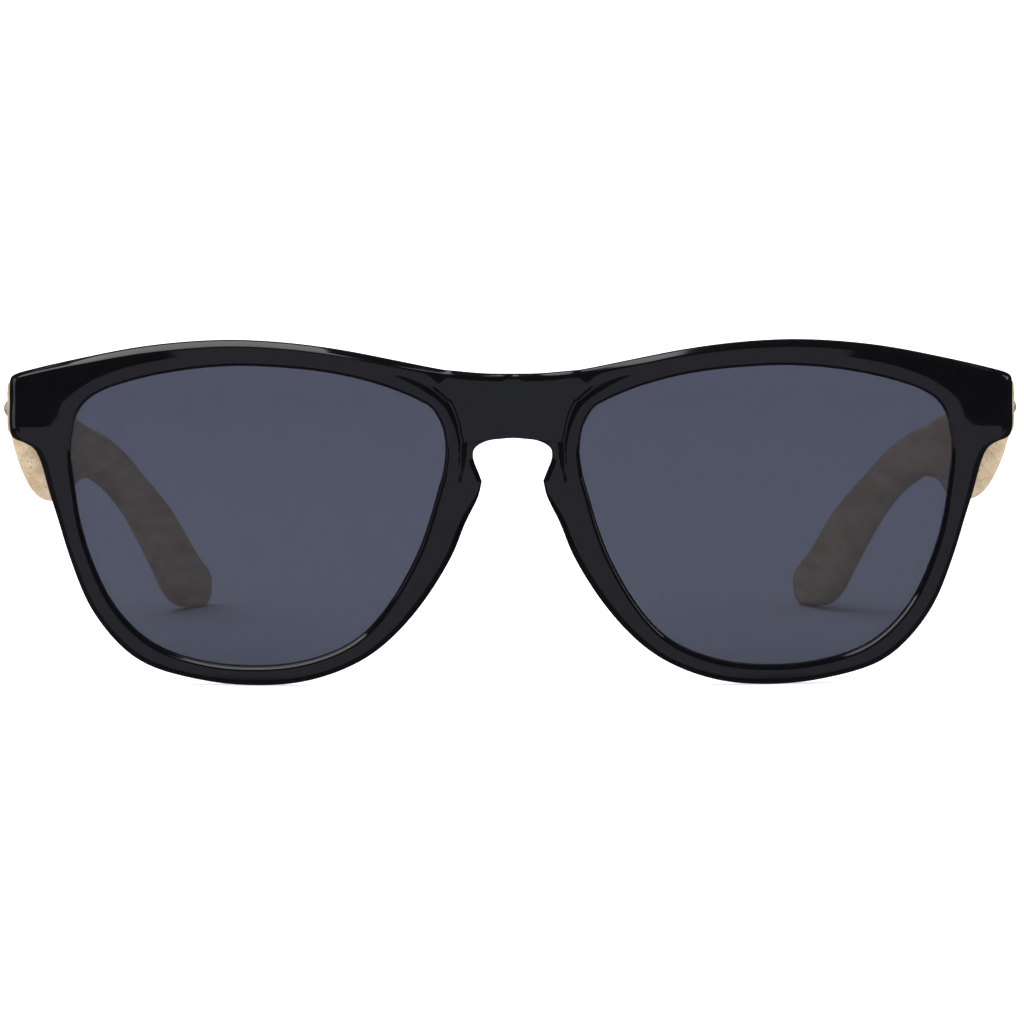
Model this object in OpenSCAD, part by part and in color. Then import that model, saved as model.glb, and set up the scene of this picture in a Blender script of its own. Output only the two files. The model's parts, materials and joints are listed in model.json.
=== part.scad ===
// Sunglasses: a moulded full-rim front with a keyhole bridge, smoke lenses,
// and wooden temples hung on riveted spring hinges.
// Lengths are in millimetres. +X is the wearer's left, +Y runs from the front
// to the temple tips, +Z is up, and Z = 0 is the surface the glasses stand on.

/* [Lenses] */
// Width of each lens opening
lens_w = 54.2; // [50:0.2:57]
// Height of each lens opening
lens_h = 43.2; // [40:0.2:47]
// Distance between the two lens openings
bridge_w = 19.2; // [17:0.2:22]
// Lens thickness
lens_t = 2; // [1.5:0.1:2.2]
// How far the lens sits behind the rim's front
lens_set = 1.6; // [1.5:0.05:1.9]
// How far the lens edge reaches into its groove
lens_bite = 0.8; // [0.5:0.1:1]
// Room round the lens in its groove
lens_clear = 0.05; // [0.02:0.01:0.1]

/* [Front] */
// Width across both endpieces
front_w = 145.8; // [142:0.2:150]
// Radius of the front's curve round the face
front_r = 280; // [240:5:340]
// Depth of the rims from front to back
rim_depth = 4.8; // [4.6:0.1:5.4]
// Rim width above the lens
rim_top = 3.8; // [3:0.1:5]
// Rim width below the lens
rim_low = 2.8; // [2.3:0.1:3.5]
// Rim width at the temple side
rim_side = 3.3; // [2.6:0.1:3.6]
// Rim width at the nose
rim_nose = 5.2; // [4:0.1:5.4]
// Height of the bridge bar over the keyhole
bridge_h = 9.15; // [7.5:0.1:10.5]
// Width of the keyhole
key_w = 11.5; // [9:0.1:12]
// How far the keyhole's two points close it in
key_point = 1.25; // [0.8:0.05:1.8]
// Height of the endpieces
endpiece_h = 9.2; // [8.6:0.1:10.5]
// Thickness of the endpieces
endpiece_t = 5.2; // [4.8:0.1:6]
// Fall of the bevel along the front's outer edge
edge_bevel = 1.1; // [0.6:0.1:1.4]
// Width of the bevel along the front's outer edge
edge_w = 1.1; // [0.7:0.1:1.4]
// Width of the polished band round each lens
band_w = 2.35; // [1.8:0.05:2.6]
// Depth of the band behind the front's curve
band_drop = 0.72; // [0.5:0.02:0.8]
// Width of the rounded lip between the band and the lens
lip_w = 0.5; // [0.3:0.05:0.7]
// Depth of the lip behind the front's curve
lip_drop = 1.25; // [1:0.05:1.35]
// Greatest width of the step from the band up to the bridge's panel
step_w = 1.3; // [0.8:0.05:1.5]
// Slope of the brow's outer face, back towards the endpiece
wing_slope = 0.08; // [0:0.01:0.1]
// Depth of the bridge's panel behind the front's curve
panel_drop = 0.24; // [0.1:0.02:0.4]
// Width of the bridge's flat panel at its top
panel_top_w = 19.6; // [17:0.1:21]
// Width of the bridge's flat panel over the keyhole
panel_low_w = 13.4; // [12:0.1:14.5]
// Rounding of the rims' back edges
back_round = 0.7; // [0.3:0.1:1]
// How far the moulded nose pads stand back from the rims
pad_out = 2.6; // [1:0.1:4]

/* [Temples] */
// Length from the hinge axis to the temple tip
temple_len = 135; // [125:0.5:145]
// Thickness of the wood
temple_t = 3.8; // [3.2:0.1:4.6]
// Height of the wood at the joint with the endpiece
temple_h = 8.4; // [7.6:0.1:9]
// Height of the wood at the widest place behind the hinge
belly_h = 14.2; // [12:0.1:15]
// Height of the wood at the neck in front of the ear
neck_h = 7.4; // [5.5:0.1:8]
// Width of the rounded tip
tip_w = 10; // [8:0.1:11]
// How far the wood stands out beside the endpiece
wood_proud = 1.2; // [0.8:0.1:2]
// How far the wood's outer face is eased back at the joint
joint_ease = 0.65; // [0.3:0.05:0.9]
// Inward lean of the open temples, in degrees
temple_lean = 4.5; // [3:0.5:6]
// Distance from the rear rivet to the start of the bow
bow_lead = 23.4; // [16:0.2:30]
// Radius of the bow that brings the tips in
bow_r = 600; // [500:10:1200]
// Radius of the wood's rounded edges
edge_r = 1.3; // [0.8:0.1:1.5]
// Gap between the wood and the endpiece at the open stop
butt_gap = 0.15; // [0.1:0.05:0.3]

/* [Hinges] */
// Radius of the knuckles
knuckle_r = 1.6; // [1.5:0.05:1.8]
// Height of each outer knuckle
knuckle_h = 1.5; // [1.2:0.1:1.8]
// Height of the middle knuckle
eye_h = 2; // [1.8:0.1:2.2]
// Radius of the hinge screw
screw_r = 0.7; // [0.6:0.05:0.8]
// Radius of the screw's head
screw_head_r = 1.15; // [1:0.05:1.3]
// Height of the screw's head
screw_head_h = 0.6; // [0.4:0.1:0.8]
// Width of the slot in the screw's head
slot_w = 0.3; // [0.2:0.05:0.4]
// Distance of the hinge below the endpiece's middle
hinge_drop = 0.8; // [0.4:0.1:1.2]
// Depth of the hinge leaf in the endpiece
anchor_d = 3.4; // [2.8:0.1:3.8]
// How far the leaf's foot stands out to each side
foot_out = 0.6; // [0.4:0.05:0.8]
// Thickness of the leaf's foot
foot_t = 1; // [0.8:0.1:1.4]
// Least plastic between the hinge leaf and the lens groove
anchor_wall = 0.25; // [0.2:0.05:0.5]
// Running clearance of round fits
run_clear = 0.04; // [0.02:0.01:0.08]
// Clearance between faces that pass each other
face_clear = 0.1; // [0.05:0.05:0.2]
// Clearance of pressed and riveted fits
press_clear = 0.01; // [0.005:0.005:0.03]
// Clearance of the housing in its pocket
pocket_clear = 0.02; // [0.01:0.01:0.1]
// Room between the middle knuckle and the endpiece
swing_clear = 0.3; // [0.2:0.05:0.5]

/* [Spring housings] */
// Room between the knuckles and the housing
housing_gap = 0.7; // [0.5:0.1:1]
// Width of the plunger's flat shank
shank_w = 2.2; // [1.8:0.1:2.6]
// Radius of the plunger rod
rod_r = 0.75; // [0.6:0.05:0.75]
// Radius of the spring chamber
chamber_r = 1.3; // [1.25:0.05:1.4]
// Wall of the housing beside the chamber
housing_wall = 0.3; // [0.25:0.05:0.3]
// Length of the housing
housing_l = 13; // [12:0.1:14]
// Height of the housing
housing_h = 4.2; // [3.8:0.1:5]
// How far the housing is let into the wood
let_in = 1; // [0.9:0.1:1.2]
// Wall that closes the chamber's rear end
end_wall = 0.8; // [0.6:0.1:1]
// Length of the guide bush
bush_l = 1.8; // [1.5:0.1:2.2]
// Thickness of the stop collar
collar_t = 0.8; // [0.6:0.1:1]
// How far the temple can be drawn back
flex_travel = 1.5; // [1:0.1:1.5]
// Room behind the stop collar at full draw
stop_gap = 0.2; // [0.1:0.05:0.4]
// Wire diameter of the spring
wire_d = 0.36; // [0.3:0.02:0.36]
// Turns of the spring
spring_turns = 6; // [5:1:7]

/* [Rivets] */
// Radius of the rivet shanks
rivet_r = 0.6; // [0.5:0.05:0.7]
// Radius of the domed heads
rivet_head_r = 1.4; // [1.2:0.05:1.7]
// Height of the domed heads
rivet_head_h = 1.2; // [0.8:0.05:1.4]
// Distance from the hinge axis to the first rivet
rivet_at = 5.2; // [4.6:0.1:6]
// Distance between the two rivets
rivet_step = 6.4; // [5.5:0.1:7]
// Depth of the shanks in the housing
rivet_grip = 0.9; // [0.6:0.1:1]

/* [Hidden] */
$fn = 48;

black_plastic = "#1f2023";
smoke = [0.30, 0.33, 0.39, 0.75];
beech = "#cdb89a";
nickel = "#c9c8c4";
steel = "#a9abad";

// Steps between two neighbouring points of an outline
front_steps = 3;
temple_steps = 3;
half_w = front_w / 2;

function mix(a, b, t) = a + (b - a) * t;
function clamp(v) = max(0, min(1, v));

// Smooth curve from p1 to p2, with p0 and p3 as its neighbours
function curve(p0, p1, p2, p3, t) =
    let (
        d1 = sqrt(norm(p1 - p0)), d2 = sqrt(norm(p2 - p1)), d3 = sqrt(norm(p3 - p2)),
        t2 = d1 + d2, t3 = t2 + d3, u = d1 + t * d2,
        a1 = mix(p0, p1, u / d1), a2 = mix(p1, p2, t), a3 = mix(p2, p3, (u - t2) / d3),
        b1 = mix(a1, a2, u / t2), b2 = mix(a2, a3, (u - d1) / (t3 - d1))
    )
    mix(b1, b2, t);

// Depth of a surface that lies off behind the front's curve
function on_front(x, off) = front_r - sqrt(pow(front_r - off, 2) - x * x);

// A point in the box of the left lens opening, from its lower nose corner
function lens_x(u) = bridge_w / 2 + u * lens_w;
function lens_z(v) = rim_low + v * lens_h;

end_z = lens_z(0.865);
bridge_top = lens_z(0.9745);
bridge_low = bridge_top - bridge_h;
nose_z = lens_z(0.484);

// A place on the left endpiece, on the bridge bar and down the keyhole's side
function end_x(t) = mix(lens_x(1), half_w, t);
function end_at(t) = end_z + t * endpiece_h;
function bridge_at(t) = bridge_low + t * bridge_h;
function key_z(t) = mix(bridge_low, nose_z, t);

// The front's left half as pairs of points, anticlockwise from the temple side:
// across and up in the lens box, the outer edge's x and z, then how far the edge
// bevel, the endpiece's flat back, the nose pad and the bridge's panel apply
function pair(u, v, x, z, bevel = 1, flat = 0, pad = 0, panel = 0) =
    [lens_x(u), lens_z(v), x, z, bevel, flat, pad, panel];
function rim(u, v, dx, dz, flat = 0, pad = 0, bevel = 1, panel = 0) =
    pair(u, v, lens_x(u) + dx, lens_z(v) + dz, bevel, flat, pad, panel);

side_pairs = [
    rim(0.976, 0.484, rim_side, 0),
    rim(0.989, 0.589, 1.19 * rim_side, -0.1 * rim_side, 0.05),
    rim(0.998, 0.672, 1.39 * rim_side, 0.06 * rim_side, 0.4)
];
endpiece_pairs = [
    pair(1, 0.713, end_x(0.6), end_at(-0.68), 1, 0.8),
    pair(0.999, 0.736, end_x(0.767), end_at(-0.583), 1, 1),
    pair(0.998, 0.755, end_x(0.94), end_at(-0.513), 1, 1),
    pair(0.994, 0.778, end_x(0.993), end_at(-0.4), 1, 1),
    pair(0.989, 0.814, end_x(1), end_at(0.033), 1, 1),
    pair(0.976, 0.851, end_x(0.993), end_at(0.43), 1, 1),
    pair(0.959, 0.878, end_x(0.95), end_at(0.52), 1, 1),
    pair(0.939, 0.899, end_x(0.633), end_at(0.573), 1, 0.85)
];
brow_pairs = [
    rim(0.889, 0.929, 1.35 * rim_top, 1.11 * rim_top, 0.4),
    rim(0.751, 0.974, 0.68 * rim_top, 1.05 * rim_top, 0.05),
    rim(0.585, 0.999, 0.16 * rim_top, rim_top),
    rim(0.437, 0.995, -0.14 * rim_top, 0.95 * rim_top),
    rim(0.290, 0.974, -0.27 * rim_top, 0.9 * rim_top),
    rim(0.161, 0.933, -0.41 * rim_top, 0.98 * rim_top, 0, 0, 0.75),
    rim(0.079, 0.892, -1.11 * rim_top, 1.08 * rim_top, 0, 0, 0.5, 0.5),
    pair(0.062, 0.881, 0.43 * panel_top_w, bridge_at(1.0475), 0.5, 0, 0, 1),
    pair(0.048, 0.872, 0.205 * panel_top_w, bridge_at(1.0055), 0.5, 0, 0, 1)
];
bridge_pairs = [
    pair(0.035, 0.858, 0, bridge_at(1), 0.5, 0, 0, 1),
    pair(0.030, 0.851, 0, bridge_at(0.953), 0.15, 0, 0, 1),
    pair(0.009, 0.800, 0, bridge_at(0.5), 0, 0, 0, 1),
    pair(0.002, 0.757, 0, bridge_at(0.06), 0.08, 0, 0, 1),
    pair(0.001, 0.745, 0, bridge_at(0), 0.4, 0, 0, 1)
];
keyhole_pairs = [
    pair(0, 0.727, 0.63 * key_w / 2, key_z(0.03), 0.4, 0, 0, 1),
    pair(0, 0.709, 0.96 * key_w / 2, key_z(0.12), 0.4, 0, 0, 1),
    pair(0.002, 0.686, key_w / 2, key_z(0.24), 0.45, 0, 0, 0.9),
    pair(0.008, 0.640, key_w / 2 - 0.6 * key_point, key_z(0.43), 0.5, 0, 0.1, 0.6),
    pair(0.015, 0.610, key_w / 2 - key_point, key_z(0.55), 0.5, 0, 0.35, 0.2),
    pair(0.024, 0.571, key_w / 2 - 0.6 * key_point, key_z(0.72), 0.6, 0, 0.7)
];
nose_pairs = [
    rim(0.044, 0.484, -rim_nose, -0.04 * rim_nose, 0, 1),
    rim(0.077, 0.372, -0.96 * rim_nose, -0.06 * rim_nose, 0, 0.95),
    rim(0.157, 0.197, -0.77 * rim_nose, -0.17 * rim_nose, 0, 0.4)
];
low_pairs = [
    rim(0.245, 0.084, -0.81 * rim_low, -0.76 * rim_low, 0, 0.06),
    rim(0.375, 0.018, -0.37 * rim_low, -0.98 * rim_low),
    rim(0.511, 0, 0, -rim_low),
    rim(0.649, 0.015, 0.3 * rim_low, -0.94 * rim_low),
    rim(0.780, 0.072, 0.74 * rim_low, -0.74 * rim_low),
    rim(0.882, 0.193, 0.9 * rim_side, -0.2 * rim_side),
    rim(0.946, 0.356, 0.94 * rim_side, -0.1 * rim_side)
];
pairs = concat(side_pairs, endpiece_pairs, brow_pairs, bridge_pairs, keyhole_pairs, nose_pairs, low_pairs);
pair_count = len(pairs);
mid_first = len(side_pairs) + len(endpiece_pairs) + len(brow_pairs);
mid_last = mid_first + len(bridge_pairs) - 1;
key_corner = mid_last + len(keyhole_pairs) - 1;

function at(i) = pairs[(i + pair_count) % pair_count];
function opening(i) = [at(i)[0], at(i)[1]];
function outer(i) = [for (k = [2:7]) at(i)[k]];
function mirrored(p) = [-p[0], p[1], p[2], p[3], p[4], p[5]];

// The outer edge turns a corner where it meets the middle of the bridge and at the keyhole's point
function before(i) =
    i == mid_first || i == key_corner ? 2 * outer(i) - outer(i + 1) :
    i == mid_last ? mirrored(outer(i + 1)) : outer(i - 1);
function after(i) =
    i == mid_first ? mirrored(outer(i - 1)) :
    i == mid_last || i == key_corner ? 2 * outer(i) - outer(i - 1) : outer(i + 1);

stations = [for (i = [0:pair_count - 1]) for (k = [0:front_steps - 1])
    let (t = k / front_steps)
    [
        curve(opening(i - 1), opening(i), opening(i + 1), opening(i + 2), t),
        curve(before(i), outer(i), outer(i + 1), after(i + 1), t)
    ]];
station_count = len(stations);
mid_from = mid_first * front_steps;
mid_to = mid_last * front_steps;

function hole(i) = stations[(i + station_count) % station_count][0];
function out_of_hole(i) =
    let (d = hole(i + 1) - hole(i - 1))
    [d[1], -d[0]] / norm(d);
function lens_edge(i, reach) = hole(i) + reach * out_of_hole(i);

groove_front = lens_set - lens_clear;
groove_back = lens_set + lens_t + lens_clear;
groove_depth = lens_bite + 2 * lens_clear;

// The endpieces are thick enough for the hinge leaf behind the lens groove
endpiece_back = max(
    on_front(half_w, endpiece_t),
    on_front(lens_x(1) + groove_depth, groove_back) + anchor_wall + press_clear + anchor_d
);

// Distance along d from the lens edge h to the side of the bridge's panel
panel_lean = (panel_top_w - panel_low_w) / 2 / bridge_h;
function to_panel(h, d) =
    (panel_low_w / 2 + panel_lean * (h[1] - bridge_low) - h[0]) / (d[0] - panel_lean * d[1]);

// Section of the rim at one station, from the lens lip round to the groove
function section(i) =
    let (
        h = hole(i),
        o = stations[i][1],
        w = norm([o[0], o[1]] - h),
        d = ([o[0], o[1]] - h) / w,
        bevel = clamp(o[2]),
        flat = clamp(o[3]),
        pad = pad_out * clamp(o[4]),
        panel = clamp(o[5]),
        band = min(mix(band_w, 0.77 * band_w, panel), 0.45 * w),
        edge = min(edge_w, 0.25 * w) * mix(0.35, 1, bevel),
        room = w - edge - band,
        step = max(0.15 * room, min(step_w, 0.9 * room, to_panel(h, d) - band)),
        // The face slopes only where it widens out to the endpiece, above its lower half
        wing = d[0] < 0 ? 0 : clamp((w / rim_top - 1.08) / 0.2) * clamp((d[1] - 0.08) / 0.15),
        fall = wing_slope * wing * room,
        face = mix(band_drop + fall, panel_drop, panel),
        g = lens_edge(i, groove_depth)
    )
    let (
        front = function(s, off) let (p = h + s * d) [p[0], on_front(p[0], off), p[1]],
        rear = function(s, off) let (p = h + s * d)
            [p[0], mix(on_front(p[0], off), endpiece_back, flat), p[1]]
    )
    [
        front(0, lip_drop),
        front(min(lip_w, 0.2 * w), band_drop),
        front(band, band_drop),
        front(band + mix(room / 3, 0.15 * step, panel), band_drop + mix(fall / 3, 0, panel)),
        front(band + mix(2 * room / 3, step, panel), mix(band_drop + 2 * fall / 3, panel_drop, panel)),
        front(w - edge, face),
        front(w, face + edge_bevel * bevel),
        rear(w, rim_depth - back_round * bevel + 0.6 * pad),
        rear(w - edge, rim_depth + pad),
        rear(min(0.94 * band_w, 0.5 * w), rim_depth + 0.3 * pad),
        front(0, rim_depth - back_round / 2),
        front(0, groove_back),
        [g[0], on_front(g[0], groove_back), g[1]],
        [g[0], on_front(g[0], groove_front), g[1]],
        front(0, groove_front)
    ];
section_size = len(section(0));

// Two mirrored loops of sections that meet in the middle of the bridge
module front_body() {
    half = [for (i = [0:station_count - 1]) each section(i)];
    other = [for (p = half) [-p[0], p[1], p[2]]];
    n = len(half);
    edge = 6;
    quads = [for (i = [0:station_count - 1]) for (j = [0:section_size - 1])
        if (!(j == edge && i >= mid_from && i < mid_to))
        let (a = i * section_size, b = ((i + 1) % station_count) * section_size, k = (j + 1) % section_size)
        [a + j, b + j, b + k, a + k]];
    polyhedron(
        points = concat(half, other),
        faces = [for (q = quads) each [
            [q[0], q[1], q[2]],
            [q[0], q[2], q[3]],
            [n + q[2], n + q[1], n + q[0]],
            [n + q[3], n + q[2], n + q[0]]
        ]]
    );
}

// Hinge axis, on the left side
hinge_z = end_z - hinge_drop;
wood_in = knuckle_r + face_clear;
wood_out = wood_in + temple_t;
hinge_x = half_w + wood_proud - wood_out;
hinge_y = endpiece_back + knuckle_r + swing_clear;
hinge_h = eye_h + face_clear + 2 * knuckle_h;

// Places along the temple, measured back from the hinge axis
housing_at = knuckle_r + housing_gap;
housing_end = housing_at + housing_l;
bush_end = housing_at + bush_l;
chamber_end = housing_end - end_wall;
collar_end = chamber_end - flex_travel - stop_gap;
collar_at = collar_end - collar_t;
housing_in = -(chamber_r + housing_wall);
housing_out = wood_in + let_in;
bow_from = rivet_at + rivet_step + bow_lead;

// Spine of the wood: place along it, height of its middle and its half height
function spine(at, z, h) = [at * temple_len, z * hinge_z, h];
wood_front = -(knuckle_r + swing_clear);
wood_spine = [
    [wood_front, hinge_z + 0.06 * temple_h, temple_h / 2],
    spine(0.030, 0.990, temple_h / 2),
    spine(0.073, 0.923, 0.78 * belly_h / 2),
    spine(0.132, 0.855, 0.95 * belly_h / 2),
    spine(0.190, 0.808, belly_h / 2),
    spine(0.249, 0.787, 0.93 * belly_h / 2),
    spine(0.308, 0.794, mix(neck_h, belly_h, 0.52) / 2),
    spine(0.381, 0.775, mix(neck_h, belly_h, 0.2) / 2),
    spine(0.454, 0.751, mix(neck_h, belly_h, 0.03) / 2),
    spine(0.527, 0.717, neck_h / 2),
    spine(0.600, 0.648, mix(neck_h, tip_w, 0.02) / 2),
    spine(0.674, 0.562, mix(neck_h, tip_w, 0.2) / 2),
    spine(0.747, 0.452, mix(neck_h, tip_w, 0.5) / 2),
    spine(0.820, 0.329, mix(neck_h, tip_w, 0.8) / 2),
    spine(0.894, 0.196, mix(neck_h, tip_w, 0.97) / 2),
    [temple_len - tip_w / 2, tip_w / 2, tip_w / 2]
];
spine_last = len(wood_spine) - 1;
function spine_at(i) =
    i < 0 ? 2 * wood_spine[0] - wood_spine[1] :
    i > spine_last ? 2 * wood_spine[spine_last] - wood_spine[spine_last - 1] : wood_spine[i];
wood_run = concat(
    [for (i = [0:spine_last - 1]) for (k = [0:temple_steps - 1])
        curve(spine_at(i - 1), spine_at(i), spine_at(i + 1), spine_at(i + 2), k / temple_steps)],
    [wood_spine[spine_last]]
);
run_last = len(wood_run) - 1;

// Slope of the spine as a unit vector along the temple and up
function spine_dir(i) =
    i == 0 ? [1, 0] :
    let (a = wood_run[i - 1], b = wood_run[min(i + 1, run_last)], d = [b[0] - a[0], b[1] - a[1]])
    d / norm(d);
function bow(b) = pow(max(0, b - bow_from), 2) / (2 * bow_r);

// Thickness of the wood, eased back in front of the first rivet's head
ease_end = rivet_at - rivet_head_r;
function eased(b) = temple_t - joint_ease * pow(clamp((ease_end - b) / (ease_end - wood_front)), 2);

// Rounded section of the wood: middle, slope, half height, half thickness and
// the place of its middle across
function wood_section(mid, dir, h, t, a0) =
    let (r = min(edge_r, h, t))
    [for (c = [0:3]) for (k = [0:3])
        let (
            ang = 90 * c + 30 * k,
            sa = c == 0 || c == 3 ? 1 : -1,
            sz = c < 2 ? 1 : -1,
            a = sa * (t - r) + r * cos(ang),
            e = sz * (h - r) + r * sin(ang),
            b = mid[0] - e * dir[1]
        )
        [a0 + a - bow(b), b, mid[1] + e * dir[0]]];

// The joint end is mitred to lie along the endpiece's back
function mitre(p) =
    [p[0], (butt_gap - knuckle_r - swing_clear - p[0] * sin(temple_lean)) / cos(temple_lean), p[2]];

function body_section(i) =
    let (t = eased(wood_run[i][0]) / 2)
    wood_section(wood_run[i], spine_dir(i), wood_run[i][2], t, wood_in + t);

cap_angles = [25, 48, 66, 80];
tip_dir = spine_dir(run_last);
wood_rings = concat(
    [[for (p = body_section(0)) mitre(p)]],
    [for (i = [1:run_last]) body_section(i)],
    [for (c = cap_angles)
        wood_section(
            [wood_run[run_last][0], wood_run[run_last][1]] + tip_w / 2 * sin(c) * tip_dir,
            tip_dir, tip_w / 2 * cos(c), temple_t / 2 * pow(cos(c), 0.4), wood_in + temple_t / 2
        )]
);
ring_size = len(wood_rings[0]);
ring_last = len(wood_rings) - 1;

// The whole part is centred between its front and the temple tips
function to_y(p) = hinge_y + p[0] * sin(temple_lean) + p[1] * cos(temple_lean);
reach = max([for (r = wood_rings) for (p = r) to_y(p)]);
near = min([for (i = [0:station_count - 1]) for (p = section(i)) p[1]]);
mid_y = (near + reach) / 2;

module placed(side) {
    translate([0, -mid_y, 0]) mirror([side < 0 ? 1 : 0, 0, 0]) children();
}

// Moves what is drawn round the hinge axis, along +Y, to the open temple
module on_temple(side) {
    placed(side) translate([hinge_x, hinge_y, 0]) rotate([0, 0, temple_lean]) children();
}

// A cylinder along the temple, or across it towards the outside
module along(from, to, r) {
    translate([0, from, hinge_z]) rotate([-90, 0, 0]) cylinder(h = to - from, r = r);
}
module across(from, to, r) {
    translate([from, 0, hinge_z]) rotate([0, 90, 0]) cylinder(h = to - from, r = r);
}
module box(x0, x1, y0, y1, z0, z1) {
    translate([x0, y0, z0]) cube([x1 - x0, y1 - y0, z1 - z0]);
}

// Anchor of the hinge leaf, moulded into the endpiece
module anchor(room = 0) {
    neck = knuckle_r + room;
    foot = knuckle_r + foot_out + room;
    z0 = hinge_z - hinge_h / 2 - room;
    z1 = hinge_z + hinge_h / 2 + room;
    translate([hinge_x, endpiece_back, 0]) {
        box(-neck, neck, -anchor_d, room, z0, z1);
        box(-foot, foot, -anchor_d - room, foot_t - anchor_d + room, z0, z1);
    }
}

module front_frame() {
    color(black_plastic)
    translate([0, -mid_y, 0])
    difference() {
        front_body();
        for (m = [0, 1]) mirror([m, 0, 0]) anchor(press_clear);
    }
}

module lens(side) {
    outline = [for (i = [0:station_count - 1]) lens_edge(i, lens_bite)];
    tall = 2 * lens_h;
    color(smoke)
    placed(side)
    intersection() {
        translate([0, front_r / 2, 0]) rotate([90, 0, 0]) linear_extrude(front_r) polygon(outline);
        translate([0, front_r, -rim_low]) difference() {
            cylinder(h = tall, r = front_r - lens_set);
            translate([0, 0, -1]) cylinder(h = tall + 2, r = front_r - lens_set - lens_t);
        }
    }
}

module front_hinge(side) {
    color(nickel)
    placed(side)
    difference() {
        union() {
            anchor();
            for (s = [0, 1])
                translate([hinge_x, 0, hinge_z + s * (hinge_h - knuckle_h) - hinge_h / 2]) {
                    box(-knuckle_r, knuckle_r, endpiece_back - 0.5, hinge_y, 0, knuckle_h);
                    translate([0, hinge_y, 0]) cylinder(h = knuckle_h, r = knuckle_r);
                }
        }
        translate([hinge_x, hinge_y, hinge_z - hinge_h]) cylinder(h = 2 * hinge_h, r = screw_r + run_clear);
    }
}

module hinge_screw(side) {
    color(steel)
    placed(side)
    translate([hinge_x, hinge_y, hinge_z - hinge_h / 2])
    difference() {
        union() {
            cylinder(h = hinge_h, r = screw_r);
            translate([0, 0, hinge_h]) cylinder(h = screw_head_h, r = screw_head_r);
        }
        translate([-2 * screw_head_r, -slot_w / 2, hinge_h + screw_head_h / 2])
            cube([4 * screw_head_r, slot_w, screw_head_h]);
    }
}

module plunger(side) {
    shank = housing_at - face_clear;
    color(steel)
    on_temple(side)
    difference() {
        union() {
            translate([0, 0, hinge_z - eye_h / 2]) cylinder(h = eye_h, r = knuckle_r);
            box(-shank_w / 2, shank_w / 2, 0, shank, hinge_z - eye_h / 2, hinge_z + eye_h / 2);
            along(shank - 0.5, collar_end, rod_r);
        }
        translate([0, 0, hinge_z - eye_h]) cylinder(h = 2 * eye_h, r = screw_r + run_clear);
    }
}

module collar(side) {
    color(nickel)
    on_temple(side)
    difference() {
        along(collar_at, collar_end, chamber_r - face_clear);
        along(collar_at - 1, collar_end + 1, rod_r + press_clear);
    }
}

module spring(side) {
    wire = wire_d / 2;
    coil_r = rod_r + face_clear / 2 + wire;
    y0 = bush_end + wire + face_clear / 2;
    y1 = collar_at - wire - face_clear / 2;
    rings = 8 * spring_turns;
    sides = 6;
    points = [for (i = [0:rings]) for (k = [0:sides - 1])
        let (turn = 45 * i, ang = 360 * k / sides, r = coil_r + wire * cos(ang))
        [r * cos(turn), mix(y0, y1, i / rings) + wire * sin(ang), hinge_z + r * sin(turn)]];
    walls = [for (i = [0:rings - 1]) for (k = [0:sides - 1])
        let (a = i * sides, b = a + sides, n = (k + 1) % sides)
        each [[a + k, b + k, b + n], [a + k, b + n, a + n]]];
    ends = [for (k = [1:sides - 2]) each [
        [0, k, k + 1],
        [rings * sides, rings * sides + k + 1, rings * sides + k]
    ]];
    echo(spring_gap = (y1 - y0) / spring_turns - wire_d);
    color(steel)
    on_temple(side)
    polyhedron(points = points, faces = concat(walls, ends));
}

module guide_bush(side) {
    color(nickel)
    on_temple(side)
    difference() {
        along(housing_at, bush_end, chamber_r - press_clear);
        along(housing_at - 1, bush_end + 1, rod_r + run_clear);
    }
}

module spring_housing(side) {
    color(nickel)
    on_temple(side)
    difference() {
        box(housing_in, housing_out, housing_at, housing_end,
            hinge_z - housing_h / 2, hinge_z + housing_h / 2);
        along(housing_at - 1, chamber_end, chamber_r);
        for (k = [0, 1])
            translate([0, rivet_at + k * rivet_step, 0])
                across(housing_out - rivet_grip, housing_out + 1, rivet_r + press_clear);
    }
}

module temple(side) {
    walls = [for (i = [0:ring_last - 1]) for (j = [0:ring_size - 1])
        let (a = i * ring_size, b = a + ring_size, k = (j + 1) % ring_size)
        each [[a + j, b + j, b + k], [a + j, b + k, a + k]]];
    ends = [
        [for (j = [0:ring_size - 1]) j],
        [for (j = [0:ring_size - 1]) ring_last * ring_size + ring_size - 1 - j]
    ];
    color(beech)
    on_temple(side)
    difference() {
        polyhedron(points = [for (r = wood_rings) each r], faces = concat(walls, ends));
        box(wood_in - 1, housing_out + pocket_clear, housing_at - pocket_clear, housing_end + pocket_clear,
            hinge_z - housing_h / 2 - pocket_clear, hinge_z + housing_h / 2 + pocket_clear);
        for (k = [0, 1])
            translate([0, rivet_at + k * rivet_step, 0]) across(wood_in, wood_out + 1, rivet_r + press_clear);
    }
}

module rivet(side, at) {
    dome_r = (pow(rivet_head_r, 2) + pow(rivet_head_h, 2)) / (2 * rivet_head_h);
    dome = asin(rivet_head_r / dome_r);
    foot = housing_out - rivet_grip - wood_out;
    facets = 6;
    profile = concat(
        [[0, foot], [rivet_r, foot], [rivet_r, 0]],
        [for (k = [0:facets]) let (a = dome * (1 - k / facets))
            [dome_r * sin(a), rivet_head_h - dome_r * (1 - cos(a))]]
    );
    color(nickel)
    on_temple(side)
    translate([wood_out, at, hinge_z])
    rotate([0, 90, 0])
    rotate_extrude() polygon(profile);
}

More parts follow.
